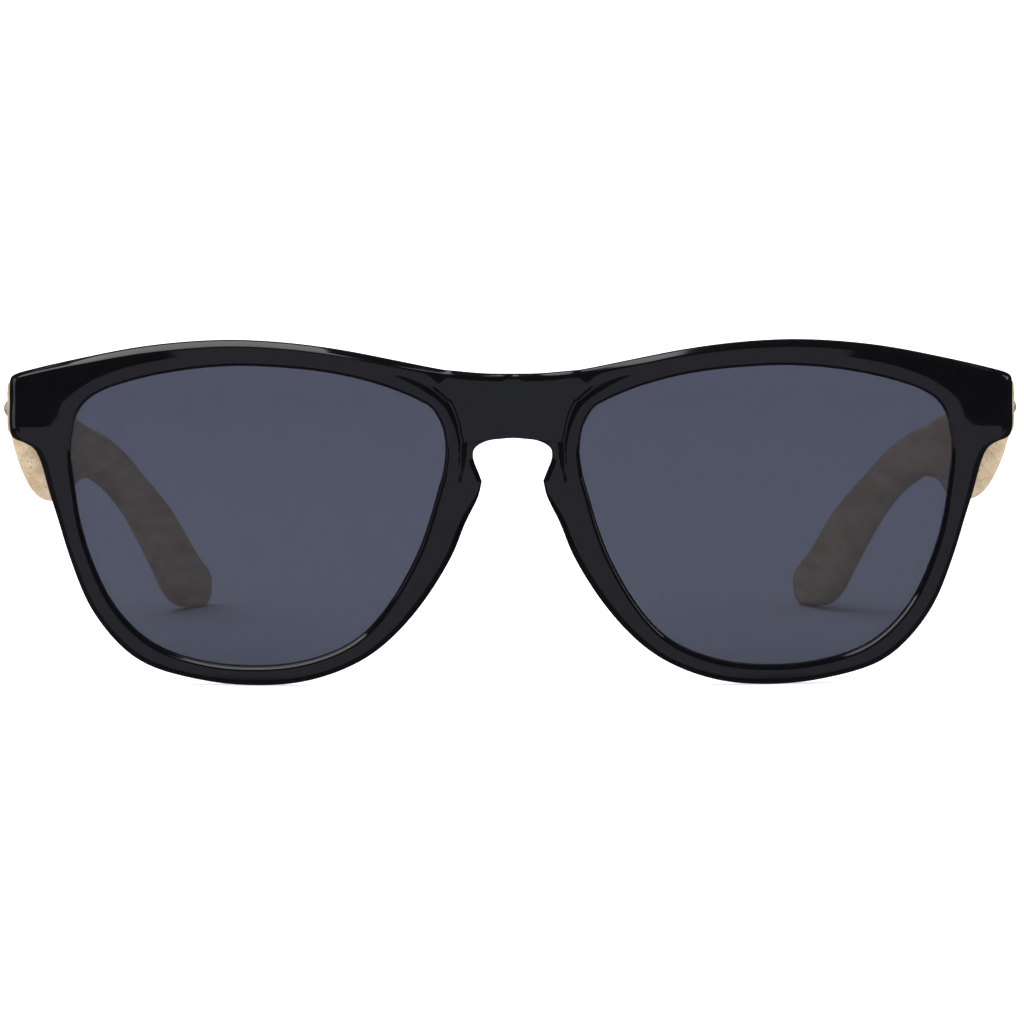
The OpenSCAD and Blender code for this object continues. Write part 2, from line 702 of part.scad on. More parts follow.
front_frame();
lens(1);  // left_lens
lens(-1);  // right_lens
front_hinge(1);  // left_front_hinge
front_hinge(-1);  // right_front_hinge
hinge_screw(1);  // left_hinge_screw
hinge_screw(-1);  // right_hinge_screw
plunger(1);  // left_plunger
plunger(-1);  // right_plunger
collar(1);  // left_collar
collar(-1);  // right_collar
spring(1);  // left_spring
spring(-1);  // right_spring
guide_bush(1);  // left_guide_bush
guide_bush(-1);  // right_guide_bush
spring_housing(1);  // left_spring_housing
spring_housing(-1);  // right_spring_housing
temple(1);  // left_temple
temple(-1);  // right_temple
rivet(1, rivet_at);  // left_rivet_front
rivet(-1, rivet_at);  // right_rivet_front
rivet(1, rivet_at + rivet_step);  // left_rivet_rear
rivet(-1, rivet_at + rivet_step);  // right_rivet_rear
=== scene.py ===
import json
import math
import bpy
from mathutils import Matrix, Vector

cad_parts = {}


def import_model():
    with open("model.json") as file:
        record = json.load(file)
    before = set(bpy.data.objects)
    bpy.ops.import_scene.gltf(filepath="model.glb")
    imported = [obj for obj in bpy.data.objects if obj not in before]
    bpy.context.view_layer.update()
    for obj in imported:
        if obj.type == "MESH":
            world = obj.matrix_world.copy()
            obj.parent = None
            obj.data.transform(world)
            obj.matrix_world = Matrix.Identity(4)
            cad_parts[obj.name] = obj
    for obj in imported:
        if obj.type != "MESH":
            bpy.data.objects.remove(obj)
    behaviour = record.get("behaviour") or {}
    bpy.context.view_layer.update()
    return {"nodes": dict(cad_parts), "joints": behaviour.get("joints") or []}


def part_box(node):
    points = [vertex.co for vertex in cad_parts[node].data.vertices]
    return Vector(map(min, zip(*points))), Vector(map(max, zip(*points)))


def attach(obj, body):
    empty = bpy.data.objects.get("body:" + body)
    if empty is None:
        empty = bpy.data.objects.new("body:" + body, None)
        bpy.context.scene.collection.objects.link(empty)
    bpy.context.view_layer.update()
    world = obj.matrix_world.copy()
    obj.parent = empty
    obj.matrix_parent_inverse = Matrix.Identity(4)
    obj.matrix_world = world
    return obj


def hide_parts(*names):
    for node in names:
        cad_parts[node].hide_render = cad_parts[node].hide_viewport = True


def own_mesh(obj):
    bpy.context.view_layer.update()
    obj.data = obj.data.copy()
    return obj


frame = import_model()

from types import SimpleNamespace

import bmesh
import bpy
import numpy as np
from bpy.props import FloatProperty, FloatVectorProperty, IntProperty, PointerProperty
from mathutils import Matrix, Vector

bl_info = {
    "name": "Wooden temple sunglasses",
    "version": (1, 0, 0),
    "blender": (4, 5, 0),
    "location": "View3D > Sidebar > Sunglasses",
    "description": "Dresses the packed sunglasses: front, lenses, temples, rivets, springs, hinges and stage",
    "category": "Object",
}

MM = 0.001
SIDES = {"left": 1, "right": -1}
JOINTS = {joint["name"]: joint for joint in frame["joints"]}


def linear(colour):
    """Linear colour of an sRGB hex value."""
    parts = [int(colour[i:i + 2], 16) / 255 for i in (1, 3, 5)]
    return [c / 12.92 if c <= 0.04045 else ((c + 0.055) / 1.055) ** 2.4 for c in parts]


# ---------------------------------------------------------------- properties

def length(name, description, mm):
    """A length that is shown in the scene's unit and given here in millimetres."""
    return FloatProperty(name=name, description=description, default=mm * MM, min=0,
                         precision=5, subtype="DISTANCE", unit="LENGTH")


def tint(name, description, colour):
    """A surface colour, given here as an sRGB hex value."""
    return FloatVectorProperty(name=name, description=description, default=linear(colour),
                               min=0, max=1, subtype="COLOR")


class SunglassesFront(bpy.types.PropertyGroup):
    """Sizes of the moulded front and its lenses."""
    lens_w: length("Lens width", "Width of each lens opening", 54.2)
    lens_h: length("Lens height", "Height of each lens opening", 43.2)
    bridge_w: length("Bridge width", "Distance between the two lens openings", 19.2)
    lens_t: length("Lens thickness", "Thickness of each lens", 2.0)
    lens_set: length("Lens setback", "How far the lens sits behind the rim's front", 1.6)
    lens_bite: length("Lens bite", "How far the lens edge reaches into its groove", 0.8)
    lens_clear: length("Lens room", "Room round the lens in its groove", 0.05)
    front_w: length("Front width", "Width across both endpieces", 145.8)
    front_r: length("Front curve", "Radius of the front's curve round the face", 280.0)
    rim_depth: length("Rim depth", "Depth of the rims from front to back", 4.8)
    rim_top: length("Top rim", "Rim width above the lens", 3.8)
    rim_low: length("Low rim", "Rim width below the lens", 2.8)
    rim_side: length("Side rim", "Rim width at the temple side", 3.3)
    rim_nose: length("Nose rim", "Rim width at the nose", 5.2)
    bridge_h: length("Bridge height", "Height of the bridge bar over the keyhole", 9.15)
    key_w: length("Keyhole width", "Width of the keyhole", 11.3)
    key_point: length("Keyhole points", "How far the keyhole's two points close it in", 1.25)
    endpiece_h: length("Endpiece height", "Height of the endpieces", 9.2)
    edge_bevel: length("Bevel fall", "Fall of the bevel along the outer edge", 1.1)
    edge_w: length("Bevel width", "Width of the bevel along the outer edge", 1.1)
    band_w: length("Band width", "Width of the polished band round each lens", 2.35)
    band_drop: length("Band depth", "Depth of the band behind the front's curve", 0.72)
    lip_w: length("Lip width", "Width of the rounded lip beside the lens", 0.5)
    lip_drop: length("Lip depth", "Depth of the lip behind the front's curve", 1.25)
    step_w: length("Step width", "Greatest width of the step from the band up to the bridge's panel", 1.3)
    wall_w: length("Wall width", "Width of the step's steep wall, at the panel's side", 0.8)
    sunk: length("Valley", "Depth of the valley at the foot of the step, below the band", 0.3)
    wing_slope: FloatProperty(name="Wing slope", description="Slope of the brow's outer face, back to the endpiece",
                              default=0.08, min=0, max=0.1)
    panel_drop: length("Panel depth", "Depth of the bridge's panel behind the front's curve", 0.24)
    panel_top_w: length("Panel top", "Width of the bridge's flat panel at its top", 19.6)
    panel_low_w: length("Panel foot", "Width of the bridge's flat panel over the keyhole", 13.4)
    back_round: length("Back rounding", "Rounding of the rims' back edges", 0.7)
    pad_out: length("Nose pads", "How far the moulded nose pads stand back", 2.6)


class SunglassesTemples(bpy.types.PropertyGroup):
    """Sizes of the wooden temples, their springs and rivets."""
    temple_len: length("Temple length", "Length from the hinge axis to the tip", 135.0)
    temple_t: length("Wood thickness", "Thickness of the wood", 3.8)
    temple_h: length("Joint height", "Height of the wood at the endpiece", 8.4)
    belly_h: length("Belly height", "Height of the wood behind the hinge", 14.2)
    neck_h: length("Neck height", "Height of the wood in front of the ear", 7.4)
    tip_w: length("Tip width", "Width of the rounded tip", 10.0)
    wood_in: length("Wood offset", "Distance of the wood's inner face outside the hinge axis", 1.7)
    edge_r: length("Edge rounding", "Radius of the wood's rounded edges", 1.3)
    bow_from: length("Bow start", "Distance from the hinge axis to the start of the bow", 35.0)
    bow_r: length("Bow radius", "Radius of the bow that brings the tips in", 600.0)
    joint_back: length("Joint setback", "Distance from the endpiece's back to the hinge axis", 1.9)
    joint_ease: length("Joint ease", "How far the outer face is eased back at the joint", 0.65)
    butt_gap: length("Butt gap", "Gap between the wood and the endpiece", 0.15)
    rivet_r: length("Rivet shank", "Radius of the rivet shanks", 0.6)
    rivet_head_r: length("Rivet head", "Radius of the domed heads", 1.4)
    rivet_head_h: length("Rivet dome", "Height of the domed heads", 1.2)
    rivet_at: length("First rivet", "Distance from the hinge axis to the first rivet", 5.2)
    rivet_step: length("Rivet spacing", "Distance between the two rivets", 6.4)
    rivet_l: length("Shank length", "Length of the shank under the head", 3.7)
    coil_r: length("Coil radius", "Radius of the spring's coil", 0.98)
    wire_d: length("Wire", "Diameter of the spring's wire", 0.36)
    spring_from: length("Spring start", "Distance from the hinge axis to the first coil", 4.33)
    spring_to: length("Spring end", "Distance from the hinge axis to the last coil", 11.77)
    spring_turns: IntProperty(name="Turns", description="Turns of the spring", default=6, min=3, max=12)


class SunglassesFinish(bpy.types.PropertyGroup):
    """Colours of the finishes."""
    plastic: tint("Front", "Colour of the moulded front", "#0b0b0d")
    smoke_top: tint("Smoke, top", "Tint of the lenses at the brow", "#4a4d5b")
    # The foot's tint is darker than the brow's as painted shade, for the dimmer paper seen through the lens
    smoke_foot_painted_shade: tint("Smoke, foot", "Tint of the lenses at the cheek", "#424550")
    wood: tint("Wood", "Main colour of the temples", "#e4cda9")
    wood_dark: tint("Wood, late", "Colour of the late wood lines", "#d0af82")
    fleck: tint("Flecks", "Colour of the short flecks in the wood", "#9c7348")
    nickel: tint("Nickel", "Colour of the nickel plate", "#cfccc6")
    steel: tint("Steel", "Colour of the plain steel", "#a9abad")
    paper: tint("Paper", "Colour of the floor and sweep", "#dcdee4")


# ---------------------------------------------------------------- hand tools

def sizes(group):
    """The group's sizes by name, its lengths in millimetres."""
    in_mm = {key: value.keywords.get("unit") == "LENGTH" for key, value in group.__annotations__.items()}
    return SimpleNamespace(**{key: getattr(group, key) / MM if mm else getattr(group, key)
                              for key, mm in in_mm.items()})


def mix(a, b, t):
    return a + (b - a) * t


def clamp(value):
    return max(0.0, min(1.0, value))


def curve(p0, p1, p2, p3, t):
    """A point from p1 to p2 on a smooth curve, with p0 and p3 as its neighbours."""
    d1, d2, d3 = (math.sqrt(np.linalg.norm(b - a)) for a, b in ((p0, p1), (p1, p2), (p2, p3)))
    t2, t3, u = d1 + d2, d1 + d2 + d3, d1 + t * d2
    a1, a2, a3 = mix(p0, p1, u / d1), mix(p1, p2, t), mix(p2, p3, (u - t2) / d3)
    return mix(mix(a1, a2, u / t2), mix(a2, a3, (u - d1) / (t3 - d1)), t)


def deselect():
    """Leaves edit mode and selects nothing, so that an operator acts on the new piece alone."""
    if bpy.context.object and bpy.context.object.mode != "OBJECT":
        bpy.ops.object.mode_set(mode="OBJECT")
    bpy.ops.object.select_all(action="DESELECT")


def make_active(piece):
    """Selects the piece alone, in object mode, so that operators act on it."""
    deselect()
    piece.select_set(True)
    bpy.context.view_layer.objects.active = piece


def pick(piece, kind, test):
    """Selects the vertices, edges or faces of the piece in edit mode that pass the test."""
    bpy.ops.mesh.select_mode(type=kind)
    bpy.ops.mesh.select_all(action="DESELECT")
    mesh = bmesh.from_edit_mesh(piece.data)
    for element in {"VERT": mesh.verts, "EDGE": mesh.edges, "FACE": mesh.faces}[kind]:
        if test(element):
            element.select_set(True)
    bmesh.update_edit_mesh(piece.data)


def lay(piece, ring, outline, crease, ribs):
    """Lays the extruded ring of vertices on its outline, creases it and its ribs, and returns the ring."""
    mesh = bmesh.from_edit_mesh(piece.data)
    layer = mesh.edges.layers.float.get("crease_edge") or mesh.edges.layers.float.new("crease_edge")
    mesh.verts.index_update()
    mesh.verts.ensure_lookup_table()
    last = [mesh.verts[i] for i in ring]
    if all(v.select for v in last):
        new = last
    else:
        new = [next(e.other_vert(v) for e in v.link_edges if e.other_vert(v).select) for v in last]
    for i, (v, place) in enumerate(zip(new, outline)):
        v.co = Vector(place) * MM
        beside = new[(i + 1) % len(new)]
        edge = next(e for e in v.link_edges if e.other_vert(v) == beside)
        edge[layer] = crease[i] if isinstance(crease, list) else crease
        for rib in v.link_edges if i in ribs else ():
            if rib.other_vert(v) == last[i]:
                rib[layer] = ribs[i]
    bmesh.update_edit_mesh(piece.data)
    return [v.index for v in new]


def loft(name, rings, creases, closed=False, ribs={}):
    """A circle extruded ring by ring, each ring laid on its own outline, left in edit mode."""
    deselect()
    reach = np.linalg.norm(np.ptp(np.array(rings[0]), axis=0)) * MM / 2
    bpy.ops.mesh.primitive_circle_add(vertices=len(rings[0]), radius=reach, enter_editmode=True)
    piece = bpy.context.object
    piece.name = piece.data.name = name
    bpy.ops.mesh.select_mode(type="EDGE")
    ring = lay(piece, range(len(rings[0])), rings[0], creases[0], ribs)
    for outline, crease in list(zip(rings, creases))[1:] + [(rings[0], creases[0])] * closed:
        bpy.ops.mesh.extrude_edges_move()
        ring = lay(piece, ring, outline, crease, ribs)
    if closed:
        bpy.ops.mesh.select_all(action="SELECT")
        bpy.ops.mesh.remove_doubles(threshold=0.001 * MM)
    return piece


def close_ends(piece):
    """Fills each open end of a lofted piece."""
    pick(piece, "EDGE", lambda edge: edge.is_boundary)
    bpy.ops.mesh.fill_holes(sides=0)


def outward():
    """Merges doubled points of the piece in edit mode and turns its faces outwards."""
    bpy.ops.mesh.select_all(action="SELECT")
    bpy.ops.mesh.remove_doubles(threshold=0.0005 * MM)
    bpy.ops.mesh.normals_make_consistent(inside=False)


def finish_with(piece, kind, **settings):
    """Adds a modifier to the piece and applies it."""
    make_active(piece)
    modifier = piece.modifiers.new(kind.title(), kind)
    for key, value in settings.items():
        setattr(modifier, key, value)
    bpy.ops.object.modifier_apply(modifier=modifier.name)


def smooth(piece, angle=180):
    """Shades the piece smooth, with hard edges past the angle in degrees."""
    make_active(piece)
    if angle < 180:
        bpy.ops.object.shade_smooth_by_angle(angle=math.radians(angle))
    else:
        bpy.ops.object.shade_smooth()


def copy_of(piece, name):
    """A copy of the piece with a mesh of its own."""
    new = piece.copy()
    new.data = piece.data.copy()
    new.name = new.data.name = name
    new.parent = None
    new.matrix_world = Matrix()
    bpy.context.scene.collection.objects.link(new)
    new.hide_viewport = new.hide_render = False
    return new


def fit(piece, body, node, finish):
    """Gives the piece its finish and sets it in the frame in place of its CAD node."""
    piece.data.materials.clear()
    piece.data.materials.append(finish)
    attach(piece, body)
    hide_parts(node)


def on_temple(side):
    """Matrix from the temple's own axes, at its hinge and along the wood, to the frame."""
    fold, flex = JOINTS[side + "_fold"], JOINTS[side + "_flex"]
    along, up = Vector(flex["axis"]), Vector((0, 0, 1))
    out = along.cross(up) * SIDES[side]
    spot = Vector(fold["pos_m"])
    return Matrix(((out.x, along.x, 0, spot.x), (out.y, along.y, 0, spot.y), (0, 0, 1, 0), (0, 0, 0, 1)))


def hinge_height():
    return JOINTS["left_fold"]["pos_m"][2] / MM


# ---------------------------------------------------------------- finishes

def add(tree, kind, sockets=None, **settings):
    """Adds a node, with its settings and with a value or a link for each socket named."""
    new = tree.nodes.new("ShaderNode" + kind)
    for key, value in settings.items():
        if key == "ramp":
            while len(new.color_ramp.elements) < len(value):
                new.color_ramp.elements.new(0.5)
            for element, (place, colour) in zip(new.color_ramp.elements, value):
                element.position, element.color = place, (*colour, 1)
        else:
            setattr(new, key, value)
    for key, value in (sockets or {}).items():
        if isinstance(value, bpy.types.NodeSocket):
            tree.links.new(value, new.inputs[key])
        else:
            new.inputs[key].default_value = value
    return new


def new_finish(name):
    """An empty material, its node tree and its output node."""
    finish = bpy.data.materials.new(name)
    finish.use_nodes = True
    finish.node_tree.nodes.clear()
    return finish, finish.node_tree, add(finish.node_tree, "OutputMaterial")


def per_mm(size):
    """Noise scale at which one blotch is about this many millimetres wide."""
    return 1 / (size * MM)


def polished_black_polycarbonate(colours):
    """Moulded and tumble-polished plastic: near black, sharp reflections with a slight swim."""
    finish, tree, out = new_finish("polished_black_polycarbonate")
    place = add(tree, "TexCoord").outputs["Object"]
    swim = add(tree, "TexNoise", {"Vector": place, "Scale": per_mm(9), "Detail": 1.0})
    film = add(tree, "TexNoise", {"Vector": place, "Scale": per_mm(3), "Detail": 4.0, "Roughness": 0.6})
    gloss = add(tree, "MapRange", {"Value": film.outputs[0], "From Min": 0.3, "From Max": 0.7,
                                   "To Min": 0.05, "To Max": 0.1})
    shade = add(tree, "ValToRGB", {0: film.outputs[0]},
                ramp=[(0.3, [c * 0.85 for c in colours.plastic]), (0.7, [c * 1.15 for c in colours.plastic])])
    wave = add(tree, "Bump", {"Height": swim.outputs[0], "Strength": 0.08, "Distance": 0.05 * MM})
    skin = add(tree, "BsdfPrincipled", {"Base Color": shade.outputs[0], "Roughness": gloss.outputs[0],
                                        "IOR": 1.5, "Normal": wave.outputs[0]})
    tree.links.new(skin.outputs[0], out.inputs[0])
    return finish


def smoke_polycarbonate(colours):
    """Dyed clear sheet with a coat against glare: it darkens what is behind it to a slightly blue grey, and more at the
    foot as painted shade.
    """
    finish, tree, out = new_finish("smoke_polycarbonate")
    place = add(tree, "TexCoord").outputs["Object"]
    height = add(tree, "SeparateXYZ", {0: place}).outputs["Z"]
    # The tint darkens from the brow to the foot: painted shade for the dimmer paper seen through the lower part of the
    # lens
    fade = add(tree, "MapRange", {"Value": height, "From Min": 4 * MM, "From Max": 44 * MM})
    tint_with_painted_shade = add(tree, "ValToRGB", {0: fade.outputs[0]}, ramp=[(0, colours.smoke_foot_painted_shade), (1, colours.smoke_top)])
    skin = add(tree, "BsdfPrincipled", {"Base Color": tint_with_painted_shade.outputs[0], "Roughness": 0.0, "IOR": 1.5,
                                        "Specular IOR Level": 0.2, "Transmission Weight": 1.0})
    tree.links.new(skin.outputs[0], out.inputs[0])
    return finish


def lacquered_beech(colours, side, lean):
    """Sawn, sanded and matt lacquered: pale lines along the board, short brown flecks, a soft sheen."""
    finish, tree, out = new_finish("lacquered_beech_" + side)
    place = add(tree, "TexCoord").outputs["Object"]
    board = add(tree, "Mapping", {"Vector": place, "Rotation": (0, 0, -lean),
                                  "Location": (0, 0, 0.02 * SIDES[side])}).outputs[0]
    heart = add(tree, "Mapping", {"Vector": board, "Rotation": (math.radians(5), 0, math.radians(9)),
                                  "Location": (0.02, 0, 0.045)}).outputs[0]
    # Year rings 1.9 mm apart, cut at a slant so that they run out in long arches
    rings = add(tree, "TexWave", {"Vector": heart, "Scale": 0.314 / (1.9 * MM), "Distortion": 2.2, "Detail": 2.0,
                                  "Detail Scale": 0.25}, wave_type="RINGS", rings_direction="Y", wave_profile="SAW")
    long_way = add(tree, "Mapping", {"Vector": board, "Scale": (1, 0.13, 1)}).outputs[0]
    tone = add(tree, "TexNoise", {"Vector": long_way, "Scale": per_mm(2.6), "Detail": 3.0})
    streak = add(tree, "TexNoise", {"Vector": long_way, "Scale": per_mm(0.3), "Detail": 4.0, "Roughness": 0.65})
    dash = add(tree, "Mapping", {"Vector": board, "Scale": (1, 0.3, 1)}).outputs[0]
    # Ray flecks about 0.4 mm wide and 1.3 mm long
    ray = add(tree, "TexNoise", {"Vector": dash, "Scale": per_mm(0.45), "Detail": 1.5})
    fleck = add(tree, "MapRange", {"Value": ray.outputs[0], "From Min": 0.60, "From Max": 0.72, "To Max": 0.55})
    pale = [min(1, c * 1.1) for c in colours.wood]
    late = add(tree, "MapRange", {"Value": rings.outputs["Fac"], "From Min": 0.35, "From Max": 1.0, "To Max": 0.42})
    base = add(tree, "ValToRGB", {0: tone.outputs[0]},
               ramp=[(0.3, colours.wood_dark), (0.52, colours.wood), (0.72, pale)])
    lined = add(tree, "Mix", {0: late.outputs[0], 6: base.outputs[0], 7: (*colours.wood_dark, 1)}, data_type="RGBA")
    flecked = add(tree, "Mix", {0: fleck.outputs[0], 6: lined.outputs[2], 7: (*colours.fleck, 1)}, data_type="RGBA")
    grain = add(tree, "MapRange", {"Value": streak.outputs[0], "From Min": 0.3, "From Max": 0.7, "To Min": 0.93,
                                   "To Max": 1.06})
    shade = add(tree, "Mix", {0: 1.0, 6: flecked.outputs[2], 7: grain.outputs[0]}, data_type="RGBA",
                blend_type="MULTIPLY")
    matt = add(tree, "MapRange", {"Value": streak.outputs[0], "From Min": 0.3, "From Max": 0.7, "To Min": 0.42,
                                  "To Max": 0.56})
    pores = add(tree, "Bump", {"Height": streak.outputs[0], "Strength": 0.25, "Distance": 0.06 * MM})
    skin = add(tree, "BsdfPrincipled", {"Base Color": shade.outputs[2], "Roughness": matt.outputs[0],
                                        "IOR": 1.5, "Normal": pores.outputs[0]})
    tree.links.new(skin.outputs[0], out.inputs[0])
    return finish


def bright_metal(name, colour, low, high):
    """Metal with a roughness that wanders between two values and a faint unevenness."""
    finish, tree, out = new_finish(name)
    place = add(tree, "TexCoord").outputs["Object"]
    wear = add(tree, "TexNoise", {"Vector": place, "Scale": per_mm(0.6), "Detail": 5.0, "Roughness": 0.6})
    gloss = add(tree, "MapRange", {"Value": wear.outputs[0], "From Min": 0.3, "From Max": 0.7,
                                   "To Min": low, "To Max": high})
    shade = add(tree, "ValToRGB", {0: wear.outputs[0]}, ramp=[(0.3, [c * 0.9 for c in colour]), (0.7, list(colour))])
    uneven = add(tree, "Bump", {"Height": wear.outputs[0], "Strength": 0.1, "Distance": 0.02 * MM})
    # Fine scratches scatter a part of the light, which leaves the metal pale in a dim room
    skin = add(tree, "BsdfPrincipled", {"Base Color": shade.outputs[0], "Metallic": 0.65,
                                        "Roughness": gloss.outputs[0], "Normal": uneven.outputs[0]})
    tree.links.new(skin.outputs[0], out.inputs[0])
    return finish


def nickel_plate(colours):
    """Barrel-plated brass: warm white metal, bright, with a slight haze."""
    return bpy.data.materials.get("nickel_plate") or bright_metal("nickel_plate", colours.nickel, 0.14, 0.24)


def spring_steel(colours):
    """Turned and drawn steel: grey metal with a softer shine."""
    return bpy.data.materials.get("spring_steel") or bright_metal("spring_steel", colours.steel, 0.26, 0.38)


def matt_white_paper(colours):
    """Seamless studio paper: plain white to the camera and through the lenses, with the object's shadow, and a painted
    shadow under the glasses in its reflections.
    """
    finish, tree, out = new_finish("matt_white_paper")
    path = add(tree, "LightPath").outputs
    own = add(tree, "Math", {0: path["Is Camera Ray"], 1: PAPER_OWN}, operation="MULTIPLY")
    flat = add(tree, "BsdfDiffuse", {"Color": (*colours.paper, 1)})
    glow = add(tree, "Emission", {"Strength": own.outputs[0]})
    both = add(tree, "AddShader", {0: flat.outputs[0], 1: glow.outputs[0]})
    # In reflections it glows a cool white of its own, dimmed by a painted shadow where it lies under the glasses
    along = add(tree, "SeparateXYZ", {0: add(tree, "TexCoord").outputs["Object"]}).outputs["Y"]
    mirrored_with_painted_shadow = add(tree, "MapRange", {"Value": along, "From Min": PAPER_SHADOW_EDGE[0], "From Max": PAPER_SHADOW_EDGE[1],
                                       "To Min": PAPER_MIRRORED, "To Max": PAPER_SHADOW_SHARE * PAPER_MIRRORED})
    mirrored = add(tree, "Emission", {"Color": (0.94, 0.95, 1.15, 1), "Strength": mirrored_with_painted_shadow.outputs[0]})
    # A ray through a lens counts as a glossy one too, and must find the paper white
    bounced = add(tree, "Math", {0: path["Is Glossy Ray"], 1: path["Is Transmission Ray"]}, operation="SUBTRACT",
                  use_clamp=True)
    whole = add(tree, "MixShader", {0: bounced.outputs[0], 1: both.outputs[0], 2: mirrored.outputs[0]})
    tree.links.new(whole.outputs[0], out.inputs[0])
    return finish


# ---------------------------------------------------------------- shape of the front

class FrontShape:
    """The front's left half as stations round the lens, each with the section of its rim."""

    STEPS = 3

    def __init__(self, s):
        self.s = s
        side, brow, low, nose = s.rim_side, s.rim_top, s.rim_low, s.rim_nose
        self.bridge_top = self.lens_z(0.9745)
        self.bridge_low = self.bridge_top - s.bridge_h
        end_z, nose_z, key = self.lens_z(0.865), self.lens_z(0.484), s.key_w / 2

        def end_x(t):
            return mix(self.lens_x(1), s.front_w / 2, t)

        def end_at(t):
            return end_z + t * s.endpiece_h

        def bridge_at(t):
            return self.bridge_low + t * s.bridge_h

        def key_z(t):
            return mix(self.bridge_low, nose_z, t)

        def pair(u, v, x, z, bevel=1, flat=0, pad=0, panel=0):
            return (self.lens_x(u), self.lens_z(v)), (x, z, bevel, flat, pad, panel)

        def rim(u, v, dx, dz, flat=0, pad=0, bevel=1, panel=0):
            return pair(u, v, self.lens_x(u) + dx, self.lens_z(v) + dz, bevel, flat, pad, panel)

        # Pairs of points on the lens opening and on the outer edge, from the temple side over the brow
        to_bridge = [
            rim(0.976, 0.484, side, 0), rim(0.989, 0.589, 1.19 * side, -0.1 * side, 0.05),
            rim(0.998, 0.672, 1.39 * side, 0.06 * side, 0.4),
            pair(1, 0.713, end_x(0.6), end_at(-0.68), 1, 0.8), pair(0.999, 0.736, end_x(0.767), end_at(-0.583), 1, 1),
            pair(0.998, 0.755, end_x(0.94), end_at(-0.513), 1, 1), pair(0.994, 0.778, end_x(0.993), end_at(-0.4), 1, 1),
            pair(0.989, 0.814, end_x(1), end_at(0.033), 1, 1), pair(0.976, 0.851, end_x(0.993), end_at(0.4), 1, 1),
            pair(0.959, 0.878, end_x(0.95), end_at(0.475), 1, 1),
            pair(0.939, 0.899, end_x(0.633), end_at(0.573), 1, 0.85),
            rim(0.889, 0.929, 1.35 * brow, 1.06 * brow, 0.4), rim(0.751, 0.974, 0.68 * brow, 1.05 * brow, 0.05),
            rim(0.585, 0.999, 0.16 * brow, brow), rim(0.437, 0.995, -0.14 * brow, 0.95 * brow),
            rim(0.290, 0.974, -0.27 * brow, 0.9 * brow), rim(0.161, 0.933, -0.41 * brow, 0.98 * brow, 0, 0, 0.75),
            rim(0.079, 0.892, -1.11 * brow, 1.08 * brow, 0, 0, 0.5, 0.8),
            pair(0.062, 0.881, 0.43 * s.panel_top_w, bridge_at(1.0475), 0.5, 0, 0, 1),
            pair(0.048, 0.872, 0.205 * s.panel_top_w, bridge_at(1.0055), 0.5, 0, 0, 1),
        ]
        on_bridge = [
            pair(0.035, 0.858, 0, bridge_at(1), 0.5, 0, 0, 1), pair(0.030, 0.851, 0, bridge_at(0.946), 0, 0, 0, 1),
            pair(0.009, 0.800, 0, bridge_at(0.5), 0, 0, 0, 1), pair(0.002, 0.757, 0, bridge_at(0.06), 0, 0, 0, 1),
            pair(0.001, 0.745, 0, bridge_at(0), 0, 0, 0, 1),
        ]
        round_nose = [
            pair(0, 0.727, 0.63 * key, key_z(0.03), 0, 0, 0, 1), pair(0, 0.709, 0.96 * key, key_z(0.12), 0.1, 0, 0, 1),
            pair(0.002, 0.686, key, key_z(0.24), 0.45, 0, 0, 0.9),
            pair(0.008, 0.640, key - 0.6 * s.key_point, key_z(0.41), 0.5, 0, 0.1, 0.6),
            pair(0.015, 0.610, key - s.key_point, key_z(0.52), 0.5, 0, 0.35, 0.2),
            pair(0.024, 0.571, key - 0.6 * s.key_point, key_z(0.70), 0.6, 0, 0.7),
            rim(0.044, 0.484, -nose, -0.04 * nose, 0, 1), rim(0.077, 0.372, -0.96 * nose, -0.06 * nose, 0, 0.95),
            rim(0.157, 0.197, -0.77 * nose, -0.17 * nose, 0, 0.4),
            rim(0.245, 0.084, -0.81 * low, -0.76 * low, 0, 0.06), rim(0.375, 0.018, -0.37 * low, -0.98 * low),
            rim(0.511, 0, 0, -low), rim(0.649, 0.015, 0.3 * low, -0.94 * low),
            rim(0.780, 0.072, 0.86 * low, -0.86 * low), rim(0.882, 0.193, 1.0 * side, -0.26 * side),
            rim(0.946, 0.356, 0.94 * side, -0.1 * side),
        ]
        pairs = to_bridge + on_bridge + round_nose
        first, last = len(to_bridge), len(to_bridge) + len(on_bridge) - 1
        point = next(i for i in range(last, len(pairs)) if pairs[i][1][0] == key - s.key_point)
        self.point = point * self.STEPS
        self.middle = range(first * self.STEPS, last * self.STEPS + 1)
        hole = [np.array(p[0]) for p in pairs]
        outer = [np.array(p[1], float) for p in pairs]
        flip = np.array((-1, 1, 1, 1, 1, 1))
        count = len(pairs)

        def before(i):
            # The outer edge turns a corner where it meets the middle of the bridge and at the keyhole's point
            if i in (first, point):
                return 2 * outer[i] - outer[i + 1]
            return flip * outer[i + 1] if i == last else outer[i - 1]

        def after(i):
            if i in (last, point):
                return 2 * outer[i] - outer[i - 1]
            return flip * outer[i - 1] if i == first else outer[(i + 1) % count]

        self.hole, self.outer = [], []
        for i in range(count):
            n, m = (i + 1) % count, (i + 2) % count
            for k in range(self.STEPS):
                t = k / self.STEPS
                self.hole.append(curve(hole[i - 1], hole[i], hole[n], hole[m], t))
                self.outer.append(curve(before(i), outer[i], outer[n], after(n), t))
        self.groove = s.lens_set - s.lens_clear, s.lens_set + s.lens_t + s.lens_clear
